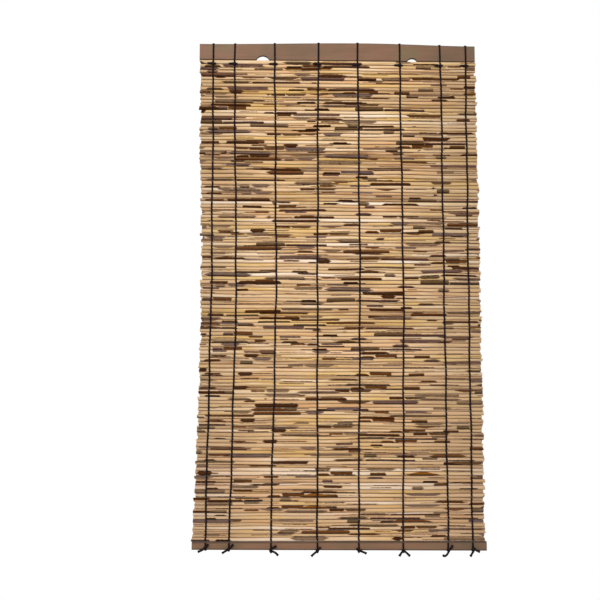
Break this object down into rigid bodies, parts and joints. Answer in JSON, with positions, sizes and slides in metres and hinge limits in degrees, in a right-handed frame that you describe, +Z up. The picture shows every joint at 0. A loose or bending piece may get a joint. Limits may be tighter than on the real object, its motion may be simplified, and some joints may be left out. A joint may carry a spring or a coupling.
{
  "type": "bamboo blind",
  "caption": "Hanging blind of thin bamboo reeds strung side by side between a flat notched top lath and a narrow bottom lath; the mat rolls up.",
  "frame": {"origin": "midway between the tops of the two hook notches, in the middle plane of the top lath", "axes": "+X along the reeds to the right, +Y from the front to the back, +Z up"},
  "size_m": [0.4542, 0.009, 0.812],
  "materials": {
    "lath": "stained bamboo strip, satin",
    "reed": "natural bamboo, dark mottles",
    "string": "dark twisted cotton"
  },
  "bodies": {
    "head": {"top_lath": "lath", "top_loops": "string"},
    "band_01": {"reeds_01": "reed", "strings_01": "string", "head_knots": "string"},
    "band_02": {"reeds_02": "reed", "strings_02": "string"},
    "band_03": {"reeds_03": "reed", "strings_03": "string"},
    "band_04": {"reeds_04": "reed", "strings_04": "string"},
    "band_05": {"reeds_05": "reed", "strings_05": "string"},
    "band_06": {"reeds_06": "reed", "strings_06": "string"},
    "band_07": {"reeds_07": "reed", "strings_07": "string"},
    "band_08": {"reeds_08": "reed", "strings_08": "string"},
    "band_09": {"reeds_09": "reed", "strings_09": "string"},
    "band_10": {"reeds_10": "reed", "strings_10": "string"},
    "band_11": {"reeds_11": "reed", "strings_11": "string"},
    "band_12": {"reeds_12": "reed", "strings_12": "string"},
    "band_13": {"reeds_13": "reed", "strings_13": "string"},
    "band_14": {"reeds_14": "reed", "strings_14": "string"},
    "band_15": {"reeds_15": "reed", "strings_15": "string"},
    "band_16": {"reeds_16": "reed", "strings_16": "string"},
    "band_17": {"reeds_17": "reed", "strings_17": "string"},
    "band_18": {"reeds_18": "reed", "strings_18": "string"},
    "band_19": {"reeds_19": "reed", "strings_19": "string"},
    "band_20": {"reeds_20": "reed", "strings_20": "string"},
    "band_21": {"reeds_21": "reed", "strings_21": "string"},
    "band_22": {"reeds_22": "reed", "strings_22": "string"},
    "band_23": {"reeds_23": "reed", "strings_23": "string"},
    "foot": {"bottom_lath": "lath", "bottom_loops": "string", "foot_knots": "string"}
  },
  "joints": [
    {"name": "bend_01", "type": "hinge", "parent": "head", "child": "band_01", "pos_m": [0, 0, -0.00665], "axis": [1, 0, 0], "range_deg": [-27.2, 27.2]},
    {"name": "bend_02", "type": "hinge", "parent": "band_01", "child": "band_02", "pos_m": [0, 0, -0.03959], "axis": [1, 0, 0], "range_deg": [-27.5, 27.5]},
    {"name": "bend_03", "type": "hinge", "parent": "band_02", "child": "band_03", "pos_m": [0, 0, -0.07253], "axis": [1, 0, 0], "range_deg": [-27.9, 27.9]},
    {"name": "bend_04", "type": "hinge", "parent": "band_03", "child": "band_04", "pos_m": [0, 0, -0.10547], "axis": [1, 0, 0], "range_deg": [-28.2, 28.2]},
    {"name": "bend_05", "type": "hinge", "parent": "band_04", "child": "band_05", "pos_m": [0, 0, -0.13841], "axis": [1, 0, 0], "range_deg": [-28.6, 28.6]},
    {"name": "bend_06", "type": "hinge", "parent": "band_05", "child": "band_06", "pos_m": [0, 0, -0.17135], "axis": [1, 0, 0], "range_deg": [-28.9, 28.9]},
    {"name": "bend_07", "type": "hinge", "parent": "band_06", "child": "band_07", "pos_m": [0, 0, -0.20429], "axis": [1, 0, 0], "range_deg": [-29.3, 29.3]},
    {"name": "bend_08", "type": "hinge", "parent": "band_07", "child": "band_08", "pos_m": [0, 0, -0.23723], "axis": [1, 0, 0], "range_deg": [-29.7, 29.7]},
    {"name": "bend_09", "type": "hinge", "parent": "band_08", "child": "band_09", "pos_m": [0, 0, -0.27017], "axis": [1, 0, 0], "range_deg": [-30.1, 30.1]},
    {"name": "bend_10", "type": "hinge", "parent": "band_09", "child": "band_10", "pos_m": [0, 0, -0.30311], "axis": [1, 0, 0], "range_deg": [-30.6, 30.6]},
    {"name": "bend_11", "type": "hinge", "parent": "band_10", "child": "band_11", "pos_m": [0, 0, -0.33605], "axis": [1, 0, 0], "range_deg": [-31, 31]},
    {"name": "bend_12", "type": "hinge", "parent": "band_11", "child": "band_12", "pos_m": [0, 0, -0.36899], "axis": [1, 0, 0], "range_deg": [-31.5, 31.5]},
    {"name": "bend_13", "type": "hinge", "parent": "band_12", "child": "band_13", "pos_m": [0, 0, -0.40193], "axis": [1, 0, 0], "range_deg": [-32, 32]},
    {"name": "bend_14", "type": "hinge", "parent": "band_13", "child": "band_14", "pos_m": [0, 0, -0.43487], "axis": [1, 0, 0], "range_deg": [-32.6, 32.6]},
    {"name": "bend_15", "type": "hinge", "parent": "band_14", "child": "band_15", "pos_m": [0, 0, -0.46781], "axis": [1, 0, 0], "range_deg": [-33.1, 33.1]},
    {"name": "bend_16", "type": "hinge", "parent": "band_15", "child": "band_16", "pos_m": [0, 0, -0.50075], "axis": [1, 0, 0], "range_deg": [-33.7, 33.7]},
    {"name": "bend_17", "type": "hinge", "parent": "band_16", "child": "band_17", "pos_m": [0, 0, -0.53369], "axis": [1, 0, 0], "range_deg": [-34.3, 34.3]},
    {"name": "bend_18", "type": "hinge", "parent": "band_17", "child": "band_18", "pos_m": [0, 0, -0.56663], "axis": [1, 0, 0], "range_deg": [-35, 35]},
    {"name": "bend_19", "type": "hinge", "parent": "band_18", "child": "band_19", "pos_m": [0, 0, -0.59957], "axis": [1, 0, 0], "range_deg": [-35.7, 35.7]},
    {"name": "bend_20", "type": "hinge", "parent": "band_19", "child": "band_20", "pos_m": [0, 0, -0.63251], "axis": [1, 0, 0], "range_deg": [-36.5, 36.5]},
    {"name": "bend_21", "type": "hinge", "parent": "band_20", "child": "band_21", "pos_m": [0, 0, -0.66545], "axis": [1, 0, 0], "range_deg": [-37.2, 37.2]},
    {"name": "bend_22", "type": "hinge", "parent": "band_21", "child": "band_22", "pos_m": [0, 0, -0.69839], "axis": [1, 0, 0], "range_deg": [-38.1, 38.1]},
    {"name": "bend_23", "type": "hinge", "parent": "band_22", "child": "band_23", "pos_m": [0, 0, -0.73133], "axis": [1, 0, 0], "range_deg": [-39, 39]},
    {"name": "bend_24", "type": "hinge", "parent": "band_23", "child": "foot", "pos_m": [0, 0, -0.76427], "axis": [1, 0, 0], "range_deg": [-40, 40]}
  ]
}
